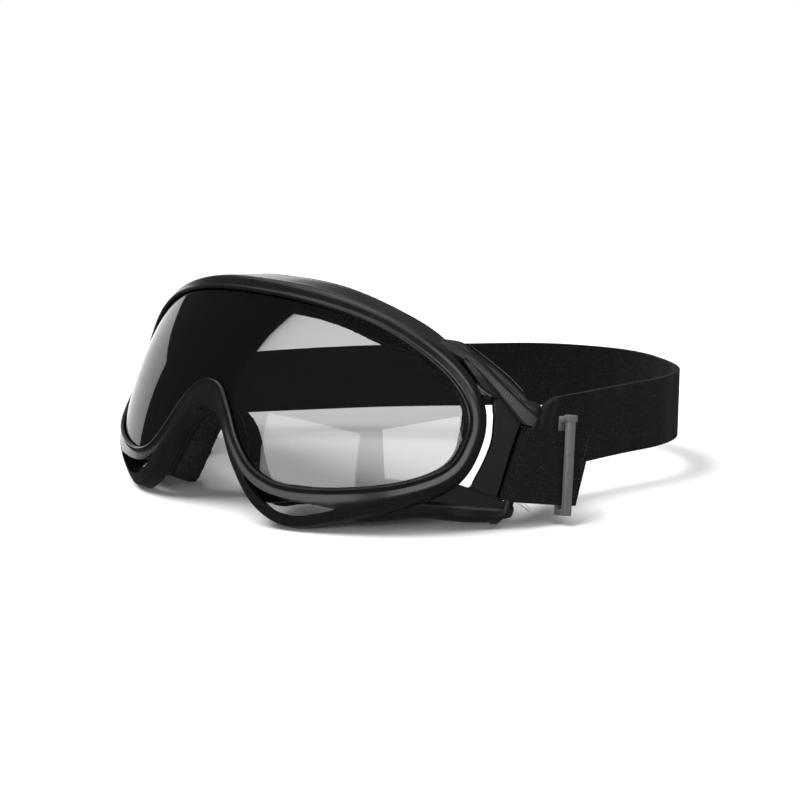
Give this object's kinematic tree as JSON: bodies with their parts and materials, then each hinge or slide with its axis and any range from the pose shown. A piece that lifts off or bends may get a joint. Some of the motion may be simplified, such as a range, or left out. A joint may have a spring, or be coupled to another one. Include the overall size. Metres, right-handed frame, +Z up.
{
  "type": "motorcycle goggles",
  "caption": "Wrap-around riding goggles with a bowed smoke lens in a vented moulded frame, a foam face seal and a looped elastic head strap with sliding keepers.",
  "frame": {"origin": "middle of the whole object's footprint, on the surface it rests on", "axes": "+Z up from the surface, the goggles face -Y, the wearer's left is +X"},
  "size_m": [0.203, 0.1743, 0.0744],
  "materials": {
    "frame_plastic": "semi-gloss black moulded thermoplastic",
    "smoke_lens": "smoke grey clear polycarbonate sheet",
    "face_plastic": "satin black flexible moulding",
    "foam": "matte black open-cell foam",
    "webbing": "matte black woven elastic",
    "keeper_grey": "satin mid-grey moulded plastic"
  },
  "bodies": {
    "goggles": {"front_frame": "frame_plastic", "lens": "smoke_lens", "face_frame": "face_plastic", "face_foam": "foam", "strap": "webbing", "strap_hem_left": "webbing", "strap_hem_right": "webbing"},
    "left_keeper": {"keeper_left": "keeper_grey"},
    "right_keeper": {"keeper_right": "keeper_grey"}
  },
  "joints": [
    {"name": "keeper_left_slide", "type": "slide", "parent": "goggles", "child": "left_keeper", "axis": [0.432, 0.89, -0.146], "range_m": [-0.006, 0.001]},
    {"name": "keeper_right_slide", "type": "slide", "parent": "goggles", "child": "right_keeper", "axis": [-0.432, 0.89, -0.146], "range_m": [-0.006, 0.001]}
  ]
}
